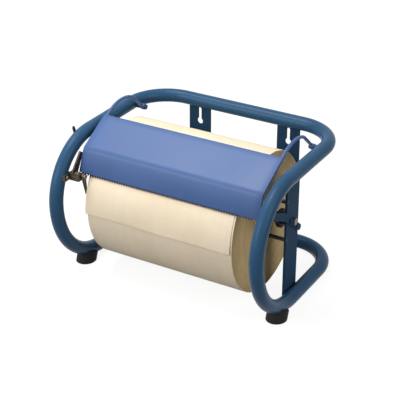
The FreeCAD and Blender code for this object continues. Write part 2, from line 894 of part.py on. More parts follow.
single_pieces = {
    "top_rail": top_rail(),
    "lower_rail": rail(low_z),
    "left_wall_strap": wall_strap(-strap_spacing / 2),
    "right_wall_strap": wall_strap(strap_spacing / 2),
    "right_hoop": right_tube,
    "left_hoop": mirrored(left_tube),
    "right_side_bar": side_bar(axle_hole),
    "left_side_bar": mirrored(side_bar(axle_slot)),
    "axle_shaft": axle_shaft(),
    "cardboard_core": paper_ring(core_bore + 2 * core_wall, core_bore),
    "paper_roll": paper_ring(roll_diameter, core_bore + 2 * core_wall),
    "paper_tail": paper_tail(),
    "cover_shell": cover_shell(),
    "tear_blade": tear_blade(),
    "brake_bracket": mirrored(brake_bracket()),
    "bracket_bolt": mirrored(bracket_bolt()),
    "brake_pin": mirrored(brake_pin()),
    "brake_lever": mirrored(brake_lever()),
    "brake_arm": mirrored(brake_arm()),
    "brake_finger": mirrored(brake_finger()),
    "brake_spring": mirrored(brake_spring()),
}
for name, shape in single_pieces.items():
    save(name, shape)

paired_pieces = {
    "axle_guide": right_axle_guide(),
    "foot": right_foot(),
    "cover_arm": right_cover_arm(),
    "axle_disc": axle_disc(),
}
for name, shape in paired_pieces.items():
    save("right_" + name, shape)
    save("left_" + name, mirrored(shape))

right_stops = right_side_stops(right_stop_reach)
left_stops = [mirrored(stop) for stop in right_side_stops(left_stop_reach)]
save("right_side_stops", Part.makeCompound(right_stops))
save("left_side_stops", Part.makeCompound(left_stops))

fastener_groups = {
    "guide_bolts": right_guide_bolts(),
    "cover_pivot_bolts": [right_pivot_bolt()],
    "foot_screws": [right_foot_screw()],
    "axle_caps": [axle_cap()],
}
for name, shapes in fastener_groups.items():
    both = shapes + [mirrored(shape) for shape in shapes]
    save(name, Part.makeCompound(both))
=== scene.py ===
import json
import math

import bmesh
import bpy
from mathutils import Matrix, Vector


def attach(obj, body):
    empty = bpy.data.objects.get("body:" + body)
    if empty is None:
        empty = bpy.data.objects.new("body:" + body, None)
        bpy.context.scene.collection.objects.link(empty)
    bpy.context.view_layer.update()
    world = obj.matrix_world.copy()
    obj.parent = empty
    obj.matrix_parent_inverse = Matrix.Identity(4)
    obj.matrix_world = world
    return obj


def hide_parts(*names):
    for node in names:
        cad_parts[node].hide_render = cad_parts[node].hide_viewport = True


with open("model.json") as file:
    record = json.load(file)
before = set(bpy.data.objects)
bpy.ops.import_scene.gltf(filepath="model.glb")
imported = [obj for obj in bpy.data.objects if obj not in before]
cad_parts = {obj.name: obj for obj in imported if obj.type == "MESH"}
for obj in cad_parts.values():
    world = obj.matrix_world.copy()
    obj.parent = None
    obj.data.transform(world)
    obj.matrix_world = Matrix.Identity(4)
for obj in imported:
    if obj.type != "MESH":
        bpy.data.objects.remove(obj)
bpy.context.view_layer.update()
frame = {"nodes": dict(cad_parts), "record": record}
slotOfNode = {part["node"]: part["material_slot"] for part in frame["record"]["subparts"]}
bodyOfNode = {node: body for body, nodes in frame["record"]["behaviour"]["bodies"].items()
              for node in nodes}
print("frame loaded")

quarterTurn = math.radians(90)
samePlace = 1e-6   # metres, for corners that one tool has just made
closePlace = 1e-5  # metres, for corners that should meet but were made apart
squareOn = 0.9     # least share of a face's normal that counts as facing a direction


def clearSelection():
    bpy.ops.object.select_all(action="DESELECT")


def workOn(piece):
    clearSelection()
    piece.select_set(True)
    bpy.context.view_layer.objects.active = piece


def takeShape(name):
    # the shape that an add operator has just made becomes the piece being worked on
    piece = bpy.context.object
    piece.name = name
    piece.data.name = name
    bpy.ops.object.transform_apply(location=True, rotation=True, scale=True)
    return piece


def editMode():
    bpy.ops.object.mode_set(mode="EDIT")


def objectMode():
    bpy.ops.object.mode_set(mode="OBJECT")


def pick(piece, kind, test):
    # selects the faces or the edges that pass a test on the element itself
    bpy.ops.mesh.select_mode(type={"faces": "FACE", "edges": "EDGE"}[kind])
    bpy.ops.mesh.select_all(action="DESELECT")
    shape = bmesh.from_edit_mesh(piece.data)
    for element in getattr(shape, kind):
        if test(element):
            element.select_set(True)
    shape.select_flush_mode()
    bmesh.update_edit_mesh(piece.data)


def pickEnds(piece):
    # the two flat ends of a shape that lies along X
    pick(piece, "faces", lambda face: abs(face.normal.x) > squareOn)


def moveVerts(piece, change):
    # moves every vertex of a piece to where a rule puts it
    shape = bmesh.new()
    shape.from_mesh(piece.data)
    for vert in shape.verts:
        vert.co = change(vert.co)
    shape.to_mesh(piece.data)
    shape.free()


def middleOf(edge):
    return (edge.verts[0].co + edge.verts[1].co) / 2


def useModifier(piece, kind, **settings):
    modifier = piece.modifiers.new(kind, kind)
    for key, value in settings.items():
        setattr(modifier, key, value)
    bpy.context.view_layer.objects.active = piece
    bpy.ops.object.modifier_apply(modifier=modifier.name)


def roundEdges(piece, width, segments=2, angle=35, clamp=False):
    useModifier(piece, "BEVEL", width=width, segments=segments, limit_method="ANGLE",
                angle_limit=math.radians(angle), use_clamp_overlap=clamp)


def faceOutwards():
    editMode()
    bpy.ops.mesh.select_all(action="SELECT")
    bpy.ops.mesh.remove_doubles(threshold=samePlace)
    bpy.ops.mesh.normals_make_consistent(inside=False)
    objectMode()


def dress(piece, body, nodes, finishes, smooth=35):
    # gives a finished piece its finish, its body and the CAD nodes that it stands for
    workOn(piece)
    bpy.ops.object.shade_smooth_by_angle(angle=math.radians(smooth))
    for finish in finishes:
        piece.data.materials.append(finish)
    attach(piece, body)
    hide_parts(*nodes)


def along(point, slope, reach):
    # point reached from a (y, z) point at a slope in radians
    return (point[0] + math.cos(slope) * reach, point[1] + math.sin(slope) * reach)


def swing(turn, centre, axis, every=3.0, fewest=4):
    # turn is counterclockwise about the axis; the spin operator counts the other way
    steps = max(fewest, int(abs(math.degrees(turn)) / every))
    bpy.ops.mesh.spin(steps=steps, angle=-turn, center=centre, axis=axis, use_auto_merge=False)


def sweptRod(name, start, facing, radius, sides, route):
    # a round end is pushed along straight runs and swung round bends
    clearSelection()
    turn = Vector(facing).to_track_quat("Z", "Y").to_euler()
    bpy.ops.mesh.primitive_circle_add(vertices=sides, radius=radius, fill_type="NGON",
                                      location=start, rotation=turn)
    piece = takeShape(name)
    editMode()
    bpy.ops.mesh.select_mode(type="FACE")
    bpy.ops.mesh.select_all(action="SELECT")
    for leg in route:
        if "by" in leg:
            bpy.ops.mesh.extrude_region_move(TRANSFORM_OT_translate={"value": leg["by"]})
        else:
            swing(**leg)
    objectMode()
    faceOutwards()
    return piece


def lyingCylinder(name, sides, radius, length, centre):
    # a cylinder along X, to be shaped further
    clearSelection()
    bpy.ops.mesh.primitive_cylinder_add(vertices=sides, radius=radius, depth=length,
                                        location=centre, rotation=(0, quarterTurn, 0))
    return takeShape(name)


def boreThrough(piece, wall):
    # opens a lying cylinder from end to end and leaves a wall round the hole
    editMode()
    pickEnds(piece)
    bpy.ops.mesh.inset(thickness=wall, use_individual=True)
    bpy.ops.mesh.bridge_edge_loops()
    objectMode()


def shade(red, green, blue):
    # screen values from 0 to 255 as the linear colour that the shader wants
    def straight(value):
        part = value / 255
        return part / 12.92 if part <= 0.04045 else ((part + 0.055) / 1.055) ** 2.4
    return (straight(red), straight(green), straight(blue), 1.0)


def feed(socket, value):
    # links a wire to a socket, or sets the socket to a plain value
    if isinstance(value, Wire):
        value.tree.links.new(value.socket, socket)
    else:
        socket.default_value = value


def addNode(tree, kind, settings, sockets):
    # settings come first, because they can change which sockets a node has
    made = tree.nodes.new(kind)
    for key, value in settings.items():
        if key == "stops":
            while len(made.color_ramp.elements) < len(value):
                made.color_ramp.elements.new(0.5)
            for element, (position, colour) in zip(made.color_ramp.elements, value):
                element.position = position
                element.color = colour
        else:
            setattr(made, key, value)
    for key, value in sockets.items():
        feed(made.inputs[key], value)
    return made


class Wire:
    # an output socket that can stand in a sum
    def __init__(self, tree, socket):
        self.tree = tree
        self.socket = socket

    def maths(self, operation, *values):
        made = addNode(self.tree, "ShaderNodeMath", {"operation": operation},
                       dict(enumerate(values)))
        return Wire(self.tree, made.outputs[0])

    def __add__(self, other):
        return self.maths("ADD", self, other)

    def __radd__(self, other):
        return self.maths("ADD", other, self)

    def __sub__(self, other):
        return self.maths("SUBTRACT", self, other)

    def __rsub__(self, other):
        return self.maths("SUBTRACT", other, self)

    def __mul__(self, other):
        return self.maths("MULTIPLY", self, other)

    def __rmul__(self, other):
        return self.maths("MULTIPLY", other, self)

    def wave(self):
        return self.maths("SINE", self)

    def root(self):
        return self.maths("SQRT", self)

    def larger(self, other):
        return self.maths("MAXIMUM", self, other)


class Finish:
    # one material: fixed values go on the surface's own sockets, patterns are wired in
    def __init__(self, name, fixed):
        self.material = bpy.data.materials.new(name)
        self.material.use_nodes = True
        self.tree = self.material.node_tree
        self.surface = self.tree.nodes["Principled BSDF"]
        for key, value in fixed.items():
            self.surface.inputs[key].default_value = value
        self.place = self.node("ShaderNodeTexCoord", {}, {}, "Object")

    def node(self, kind, settings, sockets, result=0):
        return Wire(self.tree, addNode(self.tree, kind, settings, sockets).outputs[result])

    def noise(self, scale, detail, rough=0.5, stretch=None, place=None):
        # a pattern on the object's own coordinates, unless it is given another place
        place = place or self.place
        if stretch:
            place = self.node("ShaderNodeMapping", {}, {"Vector": place, "Scale": stretch})
        return self.node("ShaderNodeTexNoise", {}, {
            "Vector": place, "Scale": scale, "Detail": detail, "Roughness": rough})

    def band(self, value, low, high, first=0.0, last=1.0):
        # stretches the range low..high to first..last and stops there
        return self.node("ShaderNodeMapRange", {}, {
            "Value": value, "From Min": low, "From Max": high, "To Min": first, "To Max": last})

    def ramp(self, value, stops):
        return self.node("ShaderNodeValToRGB", {"stops": stops}, {"Fac": value})

    def blend(self, share, first, second):
        # the colour sockets of a Mix node are its inputs 6 and 7 and its output 2
        return self.node("ShaderNodeMix", {"data_type": "RGBA"},
                         {0: share, 6: first, 7: second}, 2)

    def axes(self):
        split = addNode(self.tree, "ShaderNodeSeparateXYZ", {}, {0: self.place})
        return [Wire(self.tree, output) for output in split.outputs]

    def colour(self, value):
        feed(self.surface.inputs["Base Color"], value)

    def roughness(self, value):
        feed(self.surface.inputs["Roughness"], value)

    def bump(self, height, distance, strength=1.0, under=None):
        sockets = {"Height": height, "Distance": distance, "Strength": strength}
        if under:
            sockets["Normal"] = under
        made = self.node("ShaderNodeBump", {}, sockets)
        feed(self.surface.inputs["Normal"], made)
        return made


# in these tables a pattern has its scale and detail, and a range is the part of it that is used
paintValues = {
    "cloud": {"scale": 9.0, "detail": 4.0}, "cloudRange": (0.35, 0.65),
    "speck": {"scale": 1400.0, "detail": 2.0}, "speckRange": (0.60, 0.80), "speckShare": 0.25,
    "rub": {"scale": 55.0, "detail": 6.0, "rough": 0.7}, "rubRange": (0.62, 0.78),
    "rubShare": 0.22, "rubGain": 1.9, "rubLift": 0.01, "rubDull": 0.6,
    "glossRange": (0.3, 1.0), "glossier": 0.05, "duller": 0.16,
    "peel": {"scale": 420.0, "detail": 2.0}, "peelDepth": 0.00006,
    "wave": {"scale": 38.0, "detail": 3.0}, "waveDepth": 0.00024, "waveStrength": 0.5,
}


def powderCoat(name, light, dark, gloss, shine):
    # sprayed and baked paint: faint orange peel, cloudy tone, a few rubbed places
    v = paintValues
    finish = Finish(name, {"Specular IOR Level": shine})
    cloud = finish.noise(**v["cloud"])
    speck = finish.noise(**v["speck"])
    rub = finish.band(finish.noise(**v["rub"]), *v["rubRange"])
    rubbed = [min(1.0, part * v["rubGain"] + v["rubLift"]) for part in light[:3]]
    paint = finish.blend(finish.band(cloud, *v["cloudRange"]), dark, light)
    paint = finish.blend(finish.band(speck, *v["speckRange"], last=v["speckShare"]), paint, light)
    finish.colour(finish.blend(rub * v["rubShare"], paint, (*rubbed, 1.0)))
    finish.roughness(finish.band(cloud + rub * v["rubDull"], *v["glossRange"],
                                 gloss - v["glossier"], gloss + v["duller"]))
    peel = finish.bump(finish.noise(**v["peel"]), v["peelDepth"])
    finish.bump(finish.noise(**v["wave"]), v["waveDepth"], v["waveStrength"], peel)
    return finish.material


steelValues = {
    "streak": {"scale": 60.0, "detail": 4.0, "stretch": (1.0, 14.0, 3.0)},
    "streakRange": (0.3, 0.7), "streakDepth": 0.00005,
    "blotch": {"scale": 85.0, "detail": 5.0, "rough": 0.65}, "blotchRange": (0.58, 0.74),
    "blotchDepth": 0.0001, "blotchStrength": 0.6,
    "brown": shade(96, 78, 58), "brownShare": 0.55, "brownDull": 0.5,
    "glossRange": (0.3, 1.1), "duller": 0.25,
}


def plainSteel(name, light, dark, gloss, metal=0.85):
    # plated or bare steel: brushed streaks, duller blotches, a little brown in the low places
    v = steelValues
    finish = Finish(name, {"Metallic": metal})
    streak = finish.noise(**v["streak"])
    blotch = finish.noise(**v["blotch"])
    tone = finish.blend(finish.band(streak, *v["streakRange"]), dark, light)
    worn = finish.band(blotch, *v["blotchRange"])
    finish.colour(finish.blend(worn * v["brownShare"], tone, v["brown"]))
    finish.roughness(finish.band(streak + worn * v["brownDull"], *v["glossRange"],
                                 gloss, gloss + v["duller"]))
    fine = finish.bump(streak, v["streakDepth"])
    finish.bump(blotch, v["blotchDepth"], v["blotchStrength"], fine)
    return finish.material


mouldedValues = {
    "shine": 0.15, "pebble": {"scale": 900.0, "detail": 3.0},
    "dust": {"scale": 45.0, "detail": 6.0, "rough": 0.7}, "dustRange": (0.5, 0.75),
    "dustShare": 0.6, "dustDull": 0.4, "glossRange": (0.3, 1.0), "duller": 0.2,
    "wave": {"scale": 120.0, "detail": 4.0}, "waveGain": 3, "waveStrength": 0.4,
}


def mouldedBlack(name, light, dark, gloss, grain):
    # moulded rubber or plastic: fine pebble, dusty where it is rubbed
    v = mouldedValues
    finish = Finish(name, {"Specular IOR Level": v["shine"]})
    pebble = finish.noise(**v["pebble"])
    dust = finish.band(finish.noise(**v["dust"]), *v["dustRange"])
    finish.colour(finish.blend(dust * v["dustShare"], dark, light))
    finish.roughness(finish.band(pebble + dust * v["dustDull"], *v["glossRange"],
                                 gloss, gloss + v["duller"]))
    fine = finish.bump(pebble, grain)
    finish.bump(finish.noise(**v["wave"]), grain * v["waveGain"], v["waveStrength"], fine)
    return finish.material


paperValues = {
    "shine": 0.25, "light": shade(243, 227, 201), "dark": shade(237, 220, 192),
    "cloud": {"scale": 14.0, "detail": 4.0}, "cloudRange": (0.35, 0.65),
    "fibre": {"scale": 260.0, "detail": 5.0, "rough": 0.65, "stretch": (0.35, 1.0, 1.0)},
    "fibreColour": shade(212, 192, 160), "fibreRange": (0.45, 0.75), "fibreShare": 0.14,
    "web": {"scale": 120.0, "detail": 2.0, "stretch": (1.0, 0.02, 0.02)},
    "webColour": shade(219, 202, 172), "webRange": (0.40, 0.62), "webShare": 0.08,
    "fleck": {"scale": 1500.0, "detail": 2.0},
    "fleckColour": shade(186, 162, 126), "fleckRange": (0.70, 0.78), "fleckShare": 0.45,
    "glossRange": (0.3, 0.7), "gloss": (0.62, 0.80), "fibreDepth": 0.00006,
    "crease": {"scale": 30.0, "detail": 3.0, "stretch": (0.6, 1.6, 1.6)},
    "webRelief": 0.1, "creaseDepth": 0.0007, "creaseStrength": 0.35,
}


def wrappingPaper(name):
    # plain machine paper: flecks and fibres along the web, soft creases, darker bands of tension
    v = paperValues
    finish = Finish(name, {"Specular IOR Level": v["shine"]})
    fibre = finish.noise(**v["fibre"])
    web = finish.noise(**v["web"])
    cloud = finish.band(finish.noise(**v["cloud"]), *v["cloudRange"])
    base = finish.blend(cloud, v["dark"], v["light"])
    base = finish.blend(finish.band(fibre, *v["fibreRange"], last=v["fibreShare"]),
                        base, v["fibreColour"])
    base = finish.blend(finish.band(web, *v["webRange"], last=v["webShare"]),
                        base, v["webColour"])
    fleck = finish.noise(**v["fleck"])
    base = finish.blend(finish.band(fleck, *v["fleckRange"], last=v["fleckShare"]),
                        base, v["fleckColour"])
    finish.colour(base)
    finish.roughness(finish.band(fibre, *v["glossRange"], *v["gloss"]))
    fine = finish.bump(fibre, v["fibreDepth"])
    finish.bump(finish.noise(**v["crease"]) + web * v["webRelief"],
                v["creaseDepth"], v["creaseStrength"], fine)
    return finish.material


rollValues = {
    "radius": 0.126, "left": -0.152, "length": 0.287, "axisY": -0.0035, "axisZ": 0.1344,
    "sides": 192, "rim": 0.0006, "layers": 34, "relief": 0.00035,
    "reliefTurn": 2.4, "driftTurn": 0.71, "driftStart": 1.0, "smooth": 40,
}
coreValues = {
    "radius": 0.0284, "bore": 0.0254, "gap": 0.0001, "sides": 96, "edgeRound": 0.0005,
}
# the end's tones are darker than the paper's face: partly the cut edges' own tone, partly painted
# shade of the gaps between the turns
layerValues = {
    "shine": 0.2, "turns": {"scale": 900.0, "detail": 6.0, "rough": 0.75},
    "turnRange": (0.3, 0.7), "sunk": shade(174, 147, 102), "level": shade(206, 180, 131),
    "levelAt": 0.45, "proud": shade(229, 205, 157),
    "broad": {"scale": 70.0, "detail": 3.0}, "broadRange": (0.42, 0.62),
    "broadColour": shade(187, 160, 114), "broadShare": 0.4,
    "smudge": {"scale": 22.0, "detail": 5.0}, "smudgeRange": (0.5, 0.7),
    "smudgeColour": shade(170, 145, 102), "smudgeShare": 0.35,
    "gloss": (0.72, 0.9), "depth": 0.0006, "turnStrength": 0.8, "smudgeStrength": 0.3,
}


def paperLayers(name):
    # end of the wound roll: hundreds of thin turns, some proud, some sunk; painted shade darkens
    # the sunk turns and a painted highlight lightens the proud ones
    v = layerValues
    finish = Finish(name, {"Specular IOR Level": v["shine"]})
    y, z = finish.axes()[1:]
    acrossY = y - rollValues["axisY"]
    acrossZ = z - rollValues["axisZ"]
    distance = (acrossY * acrossY + acrossZ * acrossZ).root()
    rings = finish.node("ShaderNodeCombineXYZ", {}, {"X": distance})
    turns = finish.noise(**v["turns"], place=rings)
    broad = finish.noise(**v["broad"], place=rings)
    smudge = finish.noise(**v["smudge"])
    # painted shade on the sunk turns and a painted highlight on the proud ones, from the same
    # pattern that raises them in the bump
    tone = finish.ramp(finish.band(turns, *v["turnRange"]), [
        (0.0, v["sunk"]), (v["levelAt"], v["level"]), (1.0, v["proud"])])
    tone = finish.blend(finish.band(broad, *v["broadRange"], last=v["broadShare"]),
                        tone, v["broadColour"])
    tone = finish.blend(finish.band(smudge, *v["smudgeRange"], last=v["smudgeShare"]),
                        tone, v["smudgeColour"])
    finish.colour(tone)
    finish.roughness(finish.band(turns, *v["turnRange"], *v["gloss"]))
    fine = finish.bump(turns, v["depth"], v["turnStrength"])
    finish.bump(smudge, v["depth"], v["smudgeStrength"], fine)
    return finish.material


boardValues = {
    "shine": 0.2, "light": shade(160, 132, 96), "dark": shade(122, 96, 66),
    "fibre": {"scale": 300.0, "detail": 5.0, "rough": 0.7, "stretch": (1.0, 0.5, 0.5)},
    "fibreRange": (0.3, 0.7), "gloss": (0.75, 0.92), "depth": 0.0002,
    "seamLean": 1.2, "seamTurns": 90.0, "seamRange": (0.965, 1.0),
    "seamColour": shade(78, 60, 42), "seamShare": 0.6, "seamRelief": 0.8,
}


def coreBoard(name):
    # grey-brown board wound in a spiral, with the seam of its last ply
    v = boardValues
    finish = Finish(name, {"Specular IOR Level": v["shine"]})
    x, _, z = finish.axes()
    fibre = finish.noise(**v["fibre"])
    spiral = ((x * v["seamLean"] + z) * v["seamTurns"]).wave()
    seam = finish.band(spiral, *v["seamRange"])
    base = finish.blend(finish.band(fibre, *v["fibreRange"]), v["dark"], v["light"])
    finish.colour(finish.blend(seam * v["seamShare"], base, v["seamColour"]))
    finish.roughness(finish.band(fibre, *v["fibreRange"], *v["gloss"]))
    finish.bump(fibre - seam * v["seamRelief"], v["depth"])
    return finish.material


# light tone, dark tone, roughness, and what else each finish takes
framePaint = powderCoat("frameBlue", shade(46, 82, 114), shade(40, 74, 104), 0.31, shine=0.10)
coverPaint = powderCoat("coverBlue", shade(66, 95, 145), shade(60, 88, 137), 0.40, shine=0.28)
barPaint = powderCoat("barBlue", shade(39, 68, 94), shade(34, 60, 85), 0.52, shine=0.03)
zincSteel = plainSteel("zincSteel", shade(132, 126, 116), shade(86, 80, 72), 0.34)
# the blade's tones are its own dark steel, darkened further with painted shade for its place under
# the cover's lip
bladeSteel = plainSteel("bladeSteel", shade(30, 35, 49), shade(18, 22, 33), 0.42, metal=0.6)
bronzeSteel = plainSteel("bronzeSteel", shade(104, 96, 84), shade(66, 60, 52), 0.36)
blackSteel = plainSteel("blackSteel", shade(46, 44, 46), shade(24, 24, 26), 0.42, metal=0.5)
footRubber = mouldedBlack("footRubber", shade(54, 53, 53), shade(33, 33, 34), 0.62, grain=0.00012)
blackPlastic = mouldedBlack("blackPlastic", shade(48, 48, 50), shade(22, 22, 24), 0.38,
                            grain=0.00005)
paperFace = wrappingPaper("wrappingPaper")
paperEnd = paperLayers("paperLayers")
board = coreBoard("coreBoard")
finishOfSlot = {
    "frame_paint": framePaint, "bar_paint": barPaint, "cover_paint": coverPaint,
    "zinc_steel": zincSteel, "bronze_steel": bronzeSteel, "blade_steel": bladeSteel,
    "black_steel": blackSteel, "foot_rubber": footRubber, "black_plastic": blackPlastic,
    "core_board": board, "wrapping_paper": paperFace,
}
for node, item in frame["nodes"].items():
    item.data.materials.clear()
    item.data.materials.append(finishOfSlot[slotOfNode[node]])
print("finishes ready")


# the bent tube frame
frameValues = {
    "tubeRadius": 0.0125, "halfWidth": 0.1965, "frontY": -0.1585, "rearY": 0.1585,
    "lowZ": 0.0125, "topZ": 0.2525, "cornerRadius": 0.075,
    "upperBend": 0.106, "lowerBend": 0.134, "sides": 40,
}


def makeHoop(name, side, node):
    v = frameValues
    x = side * v["halfWidth"]
    cornerY = v["rearY"] - v["cornerRadius"]
    bendZ = v["topZ"] - v["upperBend"]
    upperY = v["frontY"] + v["upperBend"]
    lowerY = v["frontY"] + v["lowerBend"]
    hoop = sweptRod(name, (x, cornerY, v["topZ"]), (0, -1, 0), v["tubeRadius"], v["sides"], [
        {"by": (0, upperY - cornerY, 0)},
        {"turn": quarterTurn, "centre": (x, upperY, bendZ), "axis": (1, 0, 0)},
        {"turn": quarterTurn, "centre": (x, lowerY, bendZ), "axis": (1, 0, 0)},
        {"by": (0, cornerY - lowerY, 0)},
    ])
    dress(hoop, "frame", [node], [framePaint])


def makeRail(name, z, node):
    v = frameValues
    cornerY = v["rearY"] - v["cornerRadius"]
    bendX = v["halfWidth"] - v["cornerRadius"]
    rail = sweptRod(name, (-v["halfWidth"], cornerY, z), (0, 1, 0), v["tubeRadius"], v["sides"], [
        {"turn": -quarterTurn, "centre": (-bendX, cornerY, z), "axis": (0, 0, 1)},
        {"by": (2 * bendX, 0, 0)},
        {"turn": -quarterTurn, "centre": (bendX, cornerY, z), "axis": (0, 0, 1)},
    ])
    dress(rail, "frame", [node], [framePaint])


makeHoop("leftHoopTube", -1, "left_hoop")
makeHoop("rightHoopTube", 1, "right_hoop")
makeRail("topRailTube", frameValues["topZ"], "top_rail")
makeRail("lowerRailTube", frameValues["lowZ"], "lower_rail")
print("tubes bent")


# the folded cover, with its toothed strip and its two arms
coverValues = {
    "width": 0.351, "sheet": 0.0015, "panelLength": 0.077, "lipLength": 0.043,
    "panelSlope": 29.0, "lipSlope": 68.5, "foldRadius": 0.020, "edgeRound": 0.0004,
    "columns": 24, "rows": 6,
}
bladeValues = {
    "show": 0.004, "thickness": 0.001, "angle": 29.0, "reach": 0.1276, "height": 0.016,
    "inset": 0.008, "toothPitch": 0.005, "toothDepth": 0.004, "toothTip": 0.06,
    "edgeRound": 0.00012,
}
armValues = {
    "radius": 0.003, "weldGap": 0.00005, "lipReach": 0.020, "bowRadius": 0.080, "bowFall": 20.0,
    "dropRadius": 0.030, "dropSetback": 0.0545, "pivotY": 0.0885, "pivotZ": 0.2485,
    "intoEye": 0.8, "sides": 20, "bendStep": 5.0, "endRound": 0.0006, "endAngle": 60,
    "eyeRadius": 0.0055, "eyeHalf": 0.0035, "boreRadius": 0.00305, "eyeSides": 40,
    "eyeRound": 0.0005,
}


def coverPoints():
    # rear edge, fold and lip edge on the cover's outer face, seen from the side
    v = coverValues
    blade = bladeValues
    panel = math.radians(v["panelSlope"])
    lip = math.radians(v["lipSlope"])
    roll = (rollValues["axisY"], rollValues["axisZ"])
    tip = along(roll, math.pi - math.radians(blade["angle"]), blade["reach"])
    edge = along(tip, lip + quarterTurn, blade["thickness"] + v["sheet"])
    edge = along(edge, lip, blade["show"])
    fold = along(edge, lip, v["lipLength"])
    return along(fold, panel, v["panelLength"]), fold, edge


def foldTangents(radius, fold):
    # where a rounded fold starts on the panel, ends on the lip, and its centre
    panel = math.radians(coverValues["panelSlope"])
    lip = math.radians(coverValues["lipSlope"])
    cut = radius * math.tan((lip - panel) / 2)
    onPanel = along(fold, panel, cut)
    onLip = along(fold, lip + math.pi, cut)
    return onPanel, onLip, along(onPanel, panel - quarterTurn, radius)


def makeCover():
    v = coverValues
    rear, fold, edge = coverPoints()
    onPanel, onLip, centre = foldTangents(v["foldRadius"], fold)
    clearSelection()
    bpy.ops.mesh.primitive_grid_add(
        x_subdivisions=v["columns"], y_subdivisions=v["rows"], size=1,
        location=(0, (rear[0] + onPanel[0]) / 2, (rear[1] + onPanel[1]) / 2),
        rotation=(math.radians(v["panelSlope"]), 0, 0))
    bpy.context.object.scale = (v["width"], math.dist(rear, onPanel), 1)
    cover = takeShape("foldedCover")

    def onFold(side):
        level = abs(side.verts[0].co.y - side.verts[1].co.y) < closePlace
        return level and middleOf(side).y < onPanel[0] + closePlace

    editMode()
    pick(cover, "edges", onFold)
    swing(math.radians(v["lipSlope"] - v["panelSlope"]), (0, centre[0], centre[1]), (1, 0, 0))
    bpy.ops.mesh.extrude_region_move(TRANSFORM_OT_translate={
        "value": (0, edge[0] - onLip[0], edge[1] - onLip[1])})
    objectMode()
    faceOutwards()
    if cover.data.polygons[0].normal.z < 0:  # an open sheet can come out facing down
        editMode()
        bpy.ops.mesh.select_all(action="SELECT")
        bpy.ops.mesh.flip_normals()
        objectMode()
    useModifier(cover, "SOLIDIFY", thickness=v["sheet"], offset=-1.0)
    roundEdges(cover, v["edgeRound"])
    dress(cover, "cover", ["cover_shell"], [coverPaint])


def makeBlade():
    # one tooth is shaped from a block and repeated along the lip
    v = bladeValues
    edge = coverPoints()[2]
    lip = math.radians(coverValues["lipSlope"])
    count = int((coverValues["width"] - 2 * v["inset"]) / v["toothPitch"])
    half = count * v["toothPitch"] / 2
    back = coverValues["sheet"] + v["thickness"] / 2
    body = v["height"] - v["toothDepth"]
    centre = along(edge, lip - quarterTurn, back)
    centre = along(centre, lip, v["toothDepth"] - v["show"] + body / 2)
    clearSelection()
    bpy.ops.mesh.primitive_cube_add(
        size=1, location=(-half + v["toothPitch"] / 2, centre[0], centre[1]),
        rotation=(lip - quarterTurn, 0, 0))
    bpy.context.object.scale = (v["toothPitch"], v["thickness"], body)
    blade = takeShape("toothedBlade")
    down = Vector((0, -math.cos(lip), -math.sin(lip)))
    editMode()
    pick(blade, "faces", lambda face: face.normal.dot(down) > squareOn)
    bpy.ops.mesh.extrude_region_move(TRANSFORM_OT_translate={"value": down * v["toothDepth"]})
    bpy.ops.transform.resize(value=(v["toothTip"], 1, 1))
    pickEnds(blade)
    bpy.ops.mesh.delete(type="FACE")
    objectMode()
    useModifier(blade, "ARRAY", count=count, use_relative_offset=False, use_constant_offset=True,
                constant_offset_displace=(v["toothPitch"], 0, 0), use_merge_vertices=True,
                merge_threshold=closePlace)
    editMode()
    for side in (-1, 1):  # the row of teeth is open at its two ends
        pick(blade, "edges", lambda edge: edge.is_boundary and middleOf(edge).x * side > 0)
        bpy.ops.mesh.edge_face_add()
    objectMode()
    faceOutwards()
    roundEdges(blade, v["edgeRound"], segments=1)
    dress(blade, "cover", ["tear_blade"], [bladeSteel])


